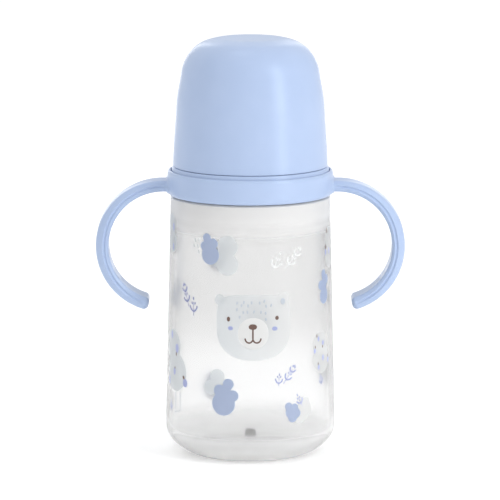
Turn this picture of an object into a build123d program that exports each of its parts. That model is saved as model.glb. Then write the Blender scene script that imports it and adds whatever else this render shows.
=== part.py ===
from build123d import *
import math
import os

# Baby bottle with a two-handled collar, a silicone teat and a dust cap.
# Millimetres, +Z up. The origin is the centre of the foot, on the surface that the bottle stands on.
# The handles lie along X and the front of the bottle faces -Y.

# Bottle
body_radius = 33.0  # widest point, just above the base corner
body_wall = 1.8
shoulder_height = 100.9  # top of the shoulder
shoulder_width = 4.5  # from the neck out to the body's top edge
shoulder_corner = 1.8
shoulder_wall = 2.8  # thicker than the wall, where the shoulder turns in to the neck
shoulder_swell = 0.3  # how far the inside of the shoulder bulges past a straight chamfer
foot_radius = 23.0  # outer edge of the ring that stands on the table
foot_width = 1.6
base_floor = 2.2  # thickness of the base
base_push_up = 3.0  # rise of the middle of the base
base_corner_height = 11.6  # height of the curve from the foot to the wall
base_curve_rise = 2.25  # exponents of that curve
base_curve_run = 1.2
base_curve_steps = 9
neck_radius = 26.5  # at the root of the thread
neck_wall = 1.8
neck_root_fillet = 1.0

# Thread, right-handed, one start
thread_lead = 4.0
thread_height = 1.5  # how far the bottle's ridge stands out of the neck
thread_turns = 1.25
thread_base = 1.7  # width of a ridge at its root
thread_tip = 1.0
thread_sink = 0.4  # depth of a ridge's root in the wall that carries it
thread_radial_gap = 0.3  # crest of one ridge to the root of the other
thread_flank_gap = 0.12
thread_first_height = 2.0  # middle of the ridge's lower end above the shoulder
thread_rim_margin = 0.45  # from the ridge's upper end to the rim
ring_thread_turns = 1.05
ring_thread_lead_in = 0.35  # turns between the lower ends of the bottle's ridge and the ring's

# Teat
flange_thickness = 1.5
flange_edge_gap = 0.3  # inside the neck's outer edge
teat_foot_wall = 2.4  # from the ledge in to the teat's bore
teat_groove_gap = 0.2  # around the groove that holds the screw ring's ledge
teat_bead = 1.0  # how far the bead above the ledge stands out of the groove
teat_bead_gap = 0.1  # above the ledge
teat_bead_height = 1.8
teat_bead_slope = 0.8
teat_dome_step = 0.4  # how far the dome's foot stands out of the groove
teat_dome_height = 18.0
teat_nipple_height = 20.5
teat_nipple_radius = 7.4  # at its waist
teat_wall = 1.9
feed_hole_radius = 0.4
vent_radius = 0.7
# Points up the dome, as shares of its foot's radius and of its height, and up the nipple, as radii
# beyond its waist and shares of its height. Each ends with the direction its surface faces, in degrees.
dome_points = ((0.93, 0.36, 10), (0.66, 0.76, 40))
nipple_points = ((2.0, 0.0, 30), (0.0, 0.32, 0), (0.4, 0.68, 0), (-2.8, 0.922, 60))

# Screw ring
ledge_thickness = 1.8
ledge_overlap = 2.1  # how far the ledge reaches in past the neck's bore
ring_wall = 1.7
ring_bottom_gap = 0.9  # above the shoulder
strip_height = 2.1  # the part of the ring's flange that shows under the cap
strip_lean = 0.6  # how much the strip narrows towards its top
ring_flange = 0.75  # how far the flange stands out of the ring's wall
ring_flange_height = 2.8
spigot_height = 4.0
spigot_wall = 1.8
spigot_edge = 0.5
key_count = 16
key_width = 1.6
key_height = 0.5
key_gap = 0.1
snap_rise = 1.0  # of the snap bead above the ring's bottom
snap_bead_radius = 0.35
snap_bead_sink = 0.1
snap_gap = 0.1

# Handle ring
sleeve_gap = 0.15  # around the screw ring
sleeve_wall = 2.0  # at its thickest
sleeve_bottom_gap = 0.5  # above the shoulder
sleeve_bottom_wall = 1.5
sleeve_bottom_rounding = 2.0
lip_rise = 1.3  # of the lip above the ring's flange seat
lip_edge = 0.3
lip_rounding = 3.6  # height of the long curve outside the lip
handle_arc_radius = 23.7  # centre line of the handle
handle_stem = 1.95  # from the sleeve to the start of the arc
handle_sweep = 166.5  # degrees
handle_thickness = 4.5
handle_depth = 13.0
handle_flat = 0.3  # what the rounded edges leave of the thickness
handle_tip_flat = 0.8
handle_root_height = 4.2  # centre line of the root above the shoulder
handle_root_sink = 1.0  # into the sleeve
boss_depth = 17.0
boss_height = 6.6
boss_proud = 0.6
boss_edge = 0.5

# Cap
cap_step = 0.15  # from the top of the strip in to the cap's lower edge
cap_headroom = 8.1  # above the teat
cap_top_radius = 11.0  # the flat middle of the top
cap_wall = 1.4
cap_fit = 0.15  # around the spigot
cap_edge = 0.25
# Points up the side, as shares of the way in to the flat top and of the height, each with the
# direction its surface faces, in degrees above level.
cap_points = ((0.066, 0.46, 2), (0.168, 0.725, 8), (0.374, 0.9, 41), (0.679, 0.977, 73))

# What follows from them
body_top_radius = neck_radius + shoulder_width
thread_end_height = thread_first_height + thread_turns * thread_lead
rim = shoulder_height + thread_end_height + thread_base / 2 + thread_rim_margin
bore = neck_radius - neck_wall
ledge_hole_radius = bore - ledge_overlap
teat_bore = ledge_hole_radius - teat_foot_wall
foot_inner = foot_radius - foot_width
ledge_bottom = rim + flange_thickness
seat = ledge_bottom + ledge_thickness  # the cap's lower edge and the screw ring's top
thread_crest = neck_radius + thread_height
ring_root = thread_crest + thread_radial_gap
ring_crest = neck_radius + thread_radial_gap
ring_outer = ring_root + ring_wall
ring_bottom = shoulder_height + ring_bottom_gap
ring_flange_bottom = seat - ring_flange_height
ring_flange_radius = ring_outer + ring_flange
cap_radius = ring_flange_radius - strip_lean - cap_step
spigot_outer = cap_radius - cap_wall - cap_fit
spigot_inner = spigot_outer - spigot_wall
spigot_top = seat + spigot_height
sleeve_bore = ring_outer + sleeve_gap
sleeve_bottom = shoulder_height + sleeve_bottom_gap
sleeve_radius = sleeve_bore + sleeve_wall
lip_bore = ring_flange_radius + sleeve_gap
lip_top = ring_flange_bottom + lip_rise
snap_height = ring_bottom + snap_rise
key_bottom = snap_height + 2 * snap_bead_radius + snap_gap
root_height = shoulder_height + handle_root_height
handle_reach = sleeve_radius + handle_stem  # from the axis to the centre of the arc
handle_edge = (handle_thickness - handle_flat) / 2
handle_tip_edge = (handle_thickness - handle_flat - handle_tip_flat) / 2
groove_radius = ledge_hole_radius - teat_groove_gap
dome_foot = groove_radius + teat_dome_step
dome_base = seat + teat_bead_height
nipple_base = dome_base + teat_dome_height
teat_tip = nipple_base + teat_nipple_height
cap_top = teat_tip + cap_headroom + cap_wall
cap_height = cap_top - seat
past = 1.0  # how far a cutting solid runs past what it cuts


def revolved(*pieces):
    """Turn a closed outline once round Z. In the pieces, x is the radius and y is the height."""
    return revolve(make_face([Plane.XZ * piece for piece in pieces]), Axis.Z, 360)


def inset_point(radius, height, facing, inset):
    """A point of an outline, moved in by a wall's thickness along the way its surface faces."""
    angle = math.radians(facing)
    return (radius - inset * math.cos(angle), height - inset * math.sin(angle))


def base_corner(bottom_radius, wall_radius, bottom):
    """The corner of the base: steep at the foot, upright where it meets the wall."""
    points = []
    for step in range(base_curve_steps + 1):
        share = (step / base_curve_steps) ** 1.5
        run = (1 - (1 - share) ** base_curve_rise) ** (1 / base_curve_run)
        radius = bottom_radius + (wall_radius - bottom_radius) * run
        points.append((radius, bottom + (base_corner_height - bottom) * share))
    return Spline(*points, tangents=((2, 1), (0, 1)))


def push_up_arc(bottom):
    """The shallow arch of the base, from the axis to the foot."""
    arch_radius = (foot_inner**2 + base_push_up**2) / (2 * base_push_up)
    half_way = foot_inner / 2
    drop = arch_radius - math.sqrt(arch_radius**2 - half_way**2)
    top = bottom + base_push_up
    return ThreePointArc((0, top), (half_way, top - drop), (foot_inner, bottom))


def helical_ridge(root, crest, start_height, turns, start_angle):
    """A trapezoid carried along a helix. Its root is sunk a little into the wall that carries it."""
    sink = math.copysign(thread_sink, crest - root)
    sunk_base = thread_base + (thread_base - thread_tip) * thread_sink / thread_height
    path = Helix(pitch=thread_lead, height=thread_lead * turns, radius=root)
    section = Polyline(
        (-sink, -sunk_base / 2),
        (crest - root, -thread_tip / 2),
        (crest - root, thread_tip / 2),
        (-sink, sunk_base / 2),
        close=True,
    )
    face = Plane(origin=path @ 0, x_dir=(1, 0, 0), z_dir=path % 0) * make_face(section)
    return Pos(0, 0, start_height) * Rot(0, 0, start_angle) * sweep(face, path=path, is_frenet=True)


def edge_at(shape, height, which):
    """The smallest (0) or largest (-1) circular edge of a shape at a height."""
    level = shape.edges().filter_by(GeomType.CIRCLE).filter_by_position(Axis.Z, height - 0.01, height + 0.01)
    return level.sort_by(SortBy.RADIUS)[which]


def make_bottle():
    corner_start = (body_top_radius, shoulder_height - shoulder_corner)
    corner_end = (body_top_radius - shoulder_corner, shoulder_height)
    outer = revolved(
        Line((0, 0), (foot_radius, 0)),
        base_corner(foot_radius, body_radius, 0),
        Line((body_radius, base_corner_height), corner_start),
        RadiusArc(corner_start, corner_end, -shoulder_corner),
        Polyline(corner_end, (neck_radius, shoulder_height), (neck_radius, rim), (0, rim), (0, 0)),
    )
    inner_radius = body_radius - body_wall
    inner_top = body_top_radius - body_wall
    throat = (bore, shoulder_height - shoulder_wall + body_wall)
    shoulder_start = (inner_top, shoulder_height - shoulder_wall - shoulder_corner)
    shoulder_middle = (
        inner_top - (inner_top - bore) * 0.35,
        shoulder_height - shoulder_wall + shoulder_swell,
    )
    floor = base_floor + base_push_up
    inner = revolved(
        push_up_arc(base_floor),
        base_corner(foot_inner, inner_radius, base_floor),
        Line((inner_radius, base_corner_height), shoulder_start),
        ThreePointArc(shoulder_start, shoulder_middle, throat),
        Polyline(throat, (bore, rim + past), (0, rim + past), (0, floor)),
    )
    push_up = revolved(push_up_arc(0), Polyline((foot_inner, 0), (0, 0), (0, base_push_up)))
    bottle = outer - inner - push_up
    bottle = fillet(edge_at(bottle, shoulder_height, 0), neck_root_fillet)
    ridge_start = shoulder_height + thread_first_height
    return bottle + helical_ridge(neck_radius, thread_crest, ridge_start, thread_turns, 0)


def teat_outline(inset):
    """The dome and nipple, from the dome's foot to the tip, moved in by inset."""
    points = [(dome_foot - inset, dome_base)]
    for share, rise, facing in dome_points:
        points.append(inset_point(dome_foot * share, dome_base + teat_dome_height * rise, facing, inset))
    for beyond, rise, facing in nipple_points:
        radius = teat_nipple_radius + beyond
        points.append(inset_point(radius, nipple_base + teat_nipple_height * rise, facing, inset))
    points.append((0, teat_tip - inset))
    return Spline(*points, tangents=((0, 1), (-1, 0)))


def make_teat():
    flange = neck_radius - flange_edge_gap
    bead = groove_radius + teat_bead
    bead_bottom = seat + teat_bead_gap
    outer = revolved(
        Polyline(
            (0, rim),
            (flange, rim),
            (flange, ledge_bottom),
            (groove_radius, ledge_bottom),
            (groove_radius, bead_bottom),
            (bead, bead_bottom),
            (bead, dome_base - teat_bead_slope),
            (dome_foot, dome_base),
        ),
        teat_outline(0),
        Line((0, teat_tip), (0, rim)),
    )
    inner = revolved(
        Polyline((0, rim), (teat_bore, rim), (dome_foot - teat_wall, dome_base)),
        teat_outline(teat_wall),
        Line((0, teat_tip - teat_wall), (0, rim)),
    )
    feed_hole = Pos(0, 0, teat_tip) * Cylinder(feed_hole_radius, 4 * teat_wall)
    vent = Pos(0, (bore + ledge_hole_radius) / 2, rim) * Cylinder(vent_radius, 4 * flange_thickness)
    return outer - inner - feed_hole - vent


def ring_keys(depth, width, bottom, top):
    """Even keys that stand out of the screw ring's wall."""
    key = Box(depth + past, width, top - bottom, align=(Align.MAX, Align.CENTER, Align.MIN))
    place = Pos(ring_outer + depth, 0, bottom)
    return [Rot(0, 0, 360 * turn / key_count) * place * key for turn in range(key_count)]


def snap_bead(gap):
    """A round bead about the screw ring's wall, or with a gap, the groove that it snaps into."""
    return Pos(0, 0, snap_height) * Torus(ring_outer - snap_bead_sink, snap_bead_radius + gap)


def make_screw_ring():
    wall = revolved(
        Polyline(
            (ring_root, ring_bottom),
            (ring_outer, ring_bottom),
            (ring_outer, ring_flange_bottom),
            (ring_flange_radius, ring_flange_bottom),
            (ring_flange_radius, seat - strip_height),
            (ring_flange_radius - strip_lean, seat),
            (spigot_outer, seat),
            (spigot_outer, spigot_top - spigot_edge),
            (spigot_outer - spigot_edge, spigot_top),
            (spigot_inner, spigot_top),
            (spigot_inner, seat),
            (ledge_hole_radius, seat),
            (ledge_hole_radius, ledge_bottom),
            (ring_root, ledge_bottom),
            close=True,
        )
    )
    # The ring's ridge lies under the bottle's, so tightening pulls the ring down.
    below = (thread_base + thread_tip) / 2 + thread_flank_gap
    start = shoulder_height + thread_first_height - below + thread_lead * ring_thread_lead_in
    ridge = helical_ridge(ring_root, ring_crest, start, ring_thread_turns, 360 * ring_thread_lead_in)
    keys = ring_keys(key_height, key_width, key_bottom, ring_flange_bottom)
    return wall + ridge + snap_bead(0) + keys


def make_handle():
    """One C-shaped handle and its boss, on the +X side."""
    root = sleeve_radius - handle_root_sink
    root_plane = Plane(origin=(root, 0, root_height), x_dir=(0, 0, 1), z_dir=(1, 0, 0))
    section = root_plane * RectangleRounded(handle_thickness, handle_depth, handle_edge)
    stem = extrude(section, amount=handle_reach - root)
    arc_height = root_height - handle_arc_radius
    arc_axis = Axis((handle_reach, 0, arc_height), (0, 1, 0))
    hook = revolve(stem.faces().sort_by(Axis.X)[-1], arc_axis, handle_sweep)
    end_angle = math.radians(90 - handle_sweep)
    tip = Vector(
        handle_reach + handle_arc_radius * math.cos(end_angle),
        0,
        arc_height + handle_arc_radius * math.sin(end_angle),
    )
    tip_face = hook.faces().sort_by_distance(tip)[0]
    hook = fillet(tip_face.edges(), handle_tip_edge)
    boss_face = root_plane * SlotOverall(boss_depth, boss_height, rotation=90)
    boss = extrude(boss_face, amount=handle_root_sink + boss_proud)
    boss = fillet(boss.faces().sort_by(Axis.X)[-1].edges(), boss_edge)
    return stem + hook + boss


def make_handle_ring():
    bottom_edge = (sleeve_bore + sleeve_bottom_wall, sleeve_bottom)
    lip_crest = (lip_bore + lip_edge, lip_top)
    widest_top = (sleeve_radius, lip_top - lip_rounding)
    widest_bottom = (sleeve_radius, sleeve_bottom + sleeve_bottom_rounding)
    sleeve = revolved(
        Polyline(
            bottom_edge,
            (sleeve_bore, sleeve_bottom),
            (sleeve_bore, ring_flange_bottom),
            (lip_bore, ring_flange_bottom),
            (lip_bore, lip_top - lip_edge),
            lip_crest,
        ),
        Spline(lip_crest, widest_top, tangents=((1, 0), (0, -1))),
        Line(widest_top, widest_bottom),
        Spline(widest_bottom, bottom_edge, tangents=((0, -1), (-1, -1))),
    )
    handle = make_handle()
    bore_cut = Pos(0, 0, root_height) * Cylinder(sleeve_bore, handle_arc_radius)
    handles = (handle + mirror(handle, Plane.YZ)) - bore_cut
    grooves = ring_keys(
        key_height + key_gap,
        key_width + 2 * key_gap,
        key_bottom - key_gap,
        ring_flange_bottom + key_gap,
    )
    return sleeve + handles - grooves - snap_bead(snap_gap)


def cap_outline(inset):
    """The cap's side, shoulder and top, from the lower edge to the axis, moved in by inset."""
    points = [(cap_radius - inset, seat)]
    for share, rise, facing in cap_points:
        radius = cap_radius + (cap_top_radius - cap_radius) * share
        points.append(inset_point(radius, seat + cap_height * rise, facing, inset))
    points.append((cap_top_radius, cap_top - inset))
    side = Spline(*points, tangents=((0, 1), (-1, 0)))
    return [side, Polyline(points[-1], (0, cap_top - inset), (0, seat), points[0])]


def make_cap():
    cap = revolved(*cap_outline(0)) - revolved(*cap_outline(cap_wall))
    return chamfer(edge_at(cap, seat, -1), cap_edge)


nodes = {
    "bottle": make_bottle(),
    "teat": make_teat(),
    "screw_ring": make_screw_ring(),
    "handle_ring": make_handle_ring(),
    "cap": make_cap(),
}

os.makedirs("parts", exist_ok=True)
for name, shape in nodes.items():
    shape.label = name
    export_step(shape, f"parts/{name}.step")
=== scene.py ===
import math

import bpy
import numpy as np
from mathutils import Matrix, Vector


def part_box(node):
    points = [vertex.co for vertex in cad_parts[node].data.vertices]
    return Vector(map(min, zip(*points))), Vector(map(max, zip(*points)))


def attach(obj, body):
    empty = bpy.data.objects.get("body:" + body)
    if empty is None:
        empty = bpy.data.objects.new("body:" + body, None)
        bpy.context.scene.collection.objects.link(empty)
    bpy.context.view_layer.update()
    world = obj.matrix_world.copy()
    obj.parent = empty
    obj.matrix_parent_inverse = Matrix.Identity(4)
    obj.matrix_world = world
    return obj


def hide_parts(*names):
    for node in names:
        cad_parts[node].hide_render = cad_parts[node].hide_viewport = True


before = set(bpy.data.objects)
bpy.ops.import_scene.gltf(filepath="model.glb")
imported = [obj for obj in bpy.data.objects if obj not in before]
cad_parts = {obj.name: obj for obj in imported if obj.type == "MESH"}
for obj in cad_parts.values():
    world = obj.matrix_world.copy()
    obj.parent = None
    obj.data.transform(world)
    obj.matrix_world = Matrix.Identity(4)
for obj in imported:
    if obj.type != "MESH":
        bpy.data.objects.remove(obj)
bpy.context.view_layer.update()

mm = 0.001


def boxMm(node):
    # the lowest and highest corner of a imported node, metres / 0.001
    low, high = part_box(node)
    return np.array(low) / mm, np.array(high) / mm


bottleHigh = boxMm("bottle")[1]
teatLow, teatHigh = boxMm("teat")
ringLow, ringHigh = boxMm("screw_ring")
capLow, capHigh = boxMm("cap")
print("packed boxes read")


def smoothStep(start, end, x):
    # 0 before start, 1 after end, and 3t^2 - 2t^3 between them
    t = np.clip((x - start) / (end - start), 0, 1)
    return t * t * (3 - 2 * t)


def cornersCut(points, cut, closed=False, steps=6):
    # for an outline, an array of (radius, height) in millimetres: each corner P becomes the quadratic curve
    # (1-t)^2 A + 2t(1-t) P + t^2 B, with A and B on the edges beside it, "cut" away from P or at 45% of the
    # edge where that is shorter
    before, after = np.roll(points, 1, axis=-2), np.roll(points, -1, axis=-2)
    toBefore, toAfter = before - points, after - points
    lengthBefore = np.linalg.norm(toBefore, axis=-1, keepdims=True) + 1e-9
    lengthAfter = np.linalg.norm(toAfter, axis=-1, keepdims=True) + 1e-9
    cut = np.broadcast_to(np.asarray(cut, float), points.shape[:-1])[..., None]
    a = points + toBefore / lengthBefore * np.minimum(cut, 0.45 * lengthBefore)
    b = points + toAfter / lengthAfter * np.minimum(cut, 0.45 * lengthAfter)
    t = np.linspace(0, 1, steps)[:, None]
    curve = (1 - t) ** 2 * a[..., None, :] + 2 * t * (1 - t) * points[..., None, :] + t * t * b[..., None, :]
    if closed:
        return curve.reshape(*points.shape[:-2], -1, 2)
    inner = curve[1:-1].reshape(-1, 2)
    return np.concatenate([points[:1], inner, points[-1:]])


def spread(outline, step):
    # the same outline with a point at least every "step" of its length; its own points stay
    length = np.concatenate([[0], np.cumsum(np.linalg.norm(np.diff(outline, axis=0), axis=1))])
    even = np.linspace(0, length[-1], int(length[-1] / step) + 2)
    at = np.unique(np.round(np.concatenate([length, even]), 4))
    at = at[np.concatenate([[True], np.diff(at) > 0.15 * step])]
    return np.stack([np.interp(at, length, outline[:, 0]), np.interp(at, length, outline[:, 1])], axis=1)


def throughPoints(points, facing, steps=14):
    # a curve through the points, a cubic between each two, leaving each at a right angle to the way the
    # surface faces there (degrees above level), with tangents as long as the chord
    points = np.asarray(points, float)
    facing = np.radians(facing)
    along = np.stack([-np.sin(facing), np.cos(facing)], axis=1)
    chord = np.linalg.norm(np.diff(points, axis=0), axis=1)[:, None, None]
    t = np.linspace(0, 1, steps, endpoint=False)[None, :, None]
    p, q = points[:-1, None], points[1:, None]
    m, n = along[:-1, None] * chord, along[1:, None] * chord
    curve = (2 * t**3 - 3 * t**2 + 1) * p + (t**3 - 2 * t**2 + t) * m
    curve = curve + (3 * t**2 - 2 * t**3) * q + (t**3 - t**2) * n
    return np.concatenate([curve.reshape(-1, 2), points[-1:]])


def inward(outline, wall):
    # each point moved by the wall's thickness along the normal, to the left of the way the outline runs
    way = np.gradient(outline, axis=0)
    way = way / np.linalg.norm(way, axis=1, keepdims=True)
    return outline + wall * np.stack([-way[:, 1], way[:, 0]], axis=1)


def turned(outline, steps):
    # radius, angle and height of the outline carried round the vertical axis, one row per outline point
    angle = np.linspace(0, 2 * math.pi, steps, endpoint=False)
    radius = np.repeat(outline[:, :1], steps, axis=1)
    height = np.repeat(outline[:, 1:], steps, axis=1)
    return radius, np.broadcast_to(angle, radius.shape), height


def placed(radius, angle, height):
    # x = r cos a, y = r sin a, z = height
    return np.stack([radius * np.cos(angle), radius * np.sin(angle), height], axis=-1)


def ringFaces(rows, columns, closed):
    # corner numbers of the four-sided faces between neighbouring rows and columns of a grid
    index = np.arange(rows * columns).reshape(rows, columns)
    if closed:
        index = np.concatenate([index, index[:1]])
    index = np.concatenate([index, index[:, :1]], axis=1)
    return np.stack([index[:-1, :-1], index[:-1, 1:], index[1:, 1:], index[1:, :-1]], axis=-1).reshape(-1, 4)


def closedGrid(points, poles):
    # one closed surface from a grid: with poles the first and last rows shrink to a single point each, and
    # without them the last row joins the first; a negative volume means the faces have to be turned over
    if poles:
        top, bottom, points = points[0].mean(axis=0), points[-1].mean(axis=0), points[1:-1]
    rows, columns = points.shape[:2]
    vertices = points.reshape(-1, 3)
    quads = ringFaces(rows, columns, not poles)
    triangles = np.zeros((0, 3), int)
    if poles:
        first = np.arange(columns)
        last = first + (rows - 1) * columns
        fanTop = np.stack([np.full(columns, rows * columns), np.roll(first, -1), first], axis=1)
        fanBottom = np.stack([np.full(columns, rows * columns + 1), last, np.roll(last, -1)], axis=1)
        triangles = np.concatenate([fanTop, fanBottom])
        vertices = np.concatenate([vertices, [top, bottom]])
    split = np.concatenate([quads[:, [0, 1, 2]], quads[:, [0, 2, 3]], triangles])
    a, b, c = (vertices[split[:, k]] for k in range(3))
    if np.einsum("ij,ij->i", a, np.cross(b, c)).sum() < 0:
        quads, triangles = quads[:, ::-1], triangles[:, ::-1]
    return vertices, quads, triangles


def makePiece(name, surfaces, material, body, replaces=(), sharp=50):
    # one object from its closed surfaces, in metres, riding on its body
    vertices, faces, offset = [], [], 0
    for corners, quads, triangles in surfaces:
        vertices.append(corners)
        faces += (quads + offset).tolist() + (triangles + offset).tolist()
        offset += len(corners)
    mesh = bpy.data.meshes.new(name)
    mesh.from_pydata(np.concatenate(vertices) * mm, [], faces)
    mesh.polygons.foreach_set("use_smooth", np.ones(len(mesh.polygons), bool))
    mesh.set_sharp_from_angle(angle=math.radians(sharp))
    mesh.materials.append(material)
    piece = bpy.data.objects.new(name, mesh)
    bpy.context.scene.collection.objects.link(piece)
    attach(piece, body)
    if replaces:
        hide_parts(*replaces)
    print(f"{name}: {len(mesh.vertices)} points, {len(mesh.polygons)} faces")


def srgb(red, green, blue):
    # screen values 0-255 turned to linear light
    c = np.array([red, green, blue]) / 255
    return (*np.where(c <= 0.04045, c / 12.92, ((c + 0.055) / 1.055) ** 2.4), 1.0)


def setSockets(node, values):
    # each named socket of the node gets its own fixed value
    for name, value in values.items():
        node.inputs[name].default_value = value


def objectPlace(tree):
    # the Object coordinates of the point being shaded
    return tree.nodes.new("ShaderNodeTexCoord").outputs["Object"]


def addNoise(tree, size, detail):
    # noise on Object coordinates with features about "size" mm across, so its scale is 1 / size in metres
    noise = tree.nodes.new("ShaderNodeTexNoise")
    setSockets(noise, {"Scale": 1 / (size * mm), "Detail": detail})
    tree.links.new(objectPlace(tree), noise.inputs["Vector"])
    return noise


def mottled(tree, shader, socket, low, high, size, detail=2.0):
    # a socket that wanders between two values or two colours with noise of that size
    noise = addNoise(tree, size, detail)
    if isinstance(low, tuple):
        blend = tree.nodes.new("ShaderNodeMix")
        blend.data_type = "RGBA"
        colourIn = [s for s in blend.inputs if s.type == "RGBA"]
        colourIn[0].default_value, colourIn[1].default_value = low, high
        tree.links.new(noise.outputs["Fac"], blend.inputs["Factor"])
        result = [s for s in blend.outputs if s.type == "RGBA"][0]
    else:
        span = tree.nodes.new("ShaderNodeMapRange")
        setSockets(span, {"From Min": 0.3, "From Max": 0.7, "To Min": low, "To Max": high})
        tree.links.new(noise.outputs["Fac"], span.inputs["Value"])
        result = span.outputs["Result"]
    tree.links.new(result, shader.inputs[socket])
    return noise


def mouldGrain(tree, shader, size, depth, strength):
    # a fine unevenness of the moulded surface: noise with features "size" mm across, used as a height
    # "depth" mm deep and scaled by strength
    noise = addNoise(tree, size, 3.0)
    bump = tree.nodes.new("ShaderNodeBump")
    setSockets(bump, {"Strength": strength, "Distance": depth * mm})
    tree.links.new(noise.outputs["Fac"], bump.inputs["Height"])
    tree.links.new(bump.outputs["Normal"], shader.inputs["Normal"])


def newMaterial(name):
    # an empty node material with its tree and its one Principled shader
    material = bpy.data.materials.new(name)
    material.use_nodes = True
    return material, material.node_tree, material.node_tree.nodes["Principled BSDF"]


bluePlastic = {
    "colour": (170, 188, 219),
    "paler": (176, 193, 223),
    "roughness": (0.30, 0.36),
    "specular": 0.4,
    "specularTint": (0.66, 0.80, 1.0),
    "coat": 0.14,
    "coatRoughness": 0.26,
    "grain": 1.6,
    "grainDepth": 0.012,
    "glow": 0.06,
}


def makeBluePlastic(name="blue_moulded_plastic"):
    # two close blues in patches 9 mm across, roughness varying over 2.5 mm, a thin soft coat and a faint
    # scatter below the skin
    material, tree, shader = newMaterial(name)
    mottled(tree, shader, "Base Color", srgb(*bluePlastic["colour"]), srgb(*bluePlastic["paler"]), 9)
    mottled(tree, shader, "Roughness", *bluePlastic["roughness"], 2.5)
    mouldGrain(tree, shader, bluePlastic["grain"], bluePlastic["grainDepth"], 0.3)
    setSockets(shader, {
        "Specular IOR Level": bluePlastic["specular"],
        "Specular Tint": (*bluePlastic["specularTint"], 1),
        "Coat Weight": bluePlastic["coat"],
        "Coat Roughness": bluePlastic["coatRoughness"],
        "Subsurface Weight": bluePlastic["glow"],
        "Subsurface Radius": (1.0, 1.1, 1.4),
        "Subsurface Scale": mm,
    })
    return material


milkyBody = {
    # share of the height, and how clear and how white the plastic is there: thick plastic at the base and
    # the shoulder is milkier than the thin wall; the whiteness is painted shade and light, greyer up under
    # the collar where its shade falls and whiter down at the base where the floor lights it
    "clear": ((0.0, 0.55), (0.07, 0.7), (0.14, 0.9), (0.79, 0.9), (0.84, 0.48), (0.87, 0.26), (1.0, 0.2)),
    "white": ((0.0, 255), (0.2, 253), (0.35, 250), (0.5, 240), (0.75, 240), (0.83, 237), (0.87, 233),
              (1.0, 240)),
    "rough": ((0.0, 0.11), (0.1, 0.12), (0.18, 0.25), (0.7, 0.25), (0.82, 0.268), (1.0, 0.268)),
    "ior": 1.22,
    "gate": (2.2, 2.9),       # radii between which the grey gate mark on the axis fades, in mm
    "gateGrey": 150,
    "grain": 2.4,
    "grainDepth": 0.02,
}


def byHeight(tree, stops, colour):
    # a ramp over z / rim height with the given (share, value) stops, easing 3t^2 - 2t^3 between them
    split = tree.nodes.new("ShaderNodeSeparateXYZ")
    share = tree.nodes.new("ShaderNodeMath")
    share.operation = "DIVIDE"
    share.inputs[1].default_value = bottleHigh[2] * mm
    ramp = tree.nodes.new("ShaderNodeValToRGB")
    while len(ramp.color_ramp.elements) < len(stops):
        ramp.color_ramp.elements.new(0.5)
    ramp.color_ramp.interpolation = "EASE"
    for element, (place, value) in zip(ramp.color_ramp.elements, stops):
        element.position = place
        element.color = srgb(value, value, value) if colour else (value, value, value, 1)
    tree.links.new(objectPlace(tree), split.inputs["Vector"])
    tree.links.new(split.outputs["Z"], share.inputs[0])
    tree.links.new(share.outputs["Value"], ramp.inputs["Fac"])
    return ramp.outputs["Color"]


def makeMilkyBody(name="milky_clear_plastic"):
    # whiteness, clearness and roughness are ramps over the height; near the axis the colour turns to the
    # gate mark's grey, by the distance sqrt(x^2 + y^2)
    material, tree, shader = newMaterial(name)
    flat = tree.nodes.new("ShaderNodeVectorMath")
    flat.operation = "MULTIPLY"
    flat.inputs[1].default_value = (1, 1, 0)
    away = tree.nodes.new("ShaderNodeVectorMath")
    away.operation = "LENGTH"
    mark = tree.nodes.new("ShaderNodeMapRange")
    mark.interpolation_type = "SMOOTHSTEP"
    setSockets(mark, {"From Min": milkyBody["gate"][0] * mm, "From Max": milkyBody["gate"][1] * mm})
    mix = tree.nodes.new("ShaderNodeMix")
    mix.data_type = "RGBA"
    grey, plain = [s for s in mix.inputs if s.type == "RGBA"]
    grey.default_value = srgb(*[milkyBody["gateGrey"]] * 3)
    tree.links.new(objectPlace(tree), flat.inputs[0])
    tree.links.new(flat.outputs["Vector"], away.inputs[0])
    tree.links.new(away.outputs["Value"], mark.inputs["Value"])
    tree.links.new(mark.outputs["Result"], mix.inputs["Factor"])
    # the whiteness ramp paints shade over the height: greyer towards the collar, whiter at the base
    tree.links.new(byHeight(tree, milkyBody["white"], True), plain)
    tree.links.new([s for s in mix.outputs if s.type == "RGBA"][0], shader.inputs["Base Color"])
    tree.links.new(byHeight(tree, milkyBody["clear"], False), shader.inputs["Transmission Weight"])
    tree.links.new(byHeight(tree, milkyBody["rough"], False), shader.inputs["Roughness"])
    shader.inputs["IOR"].default_value = milkyBody["ior"]
    mouldGrain(tree, shader, milkyBody["grain"], milkyBody["grainDepth"], 0.25)
    return material


softSilicone = {"colour": (248, 248, 244), "paler": (252, 252, 249), "transmission": 0.3, "roughness": 0.33,
                "ior": 1.41}


def makeSilicone(name="soft_silicone"):
    # two close whites in patches 6 mm across, part of the light passing through
    material, tree, shader = newMaterial(name)
    mottled(tree, shader, "Base Color", srgb(*softSilicone["colour"]), srgb(*softSilicone["paler"]), 6)
    setSockets(shader, {"Roughness": softSilicone["roughness"], "IOR": softSilicone["ior"],
                        "Transmission Weight": softSilicone["transmission"]})
    mouldGrain(tree, shader, 1.1, 0.01, 0.3)
    return material


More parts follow.
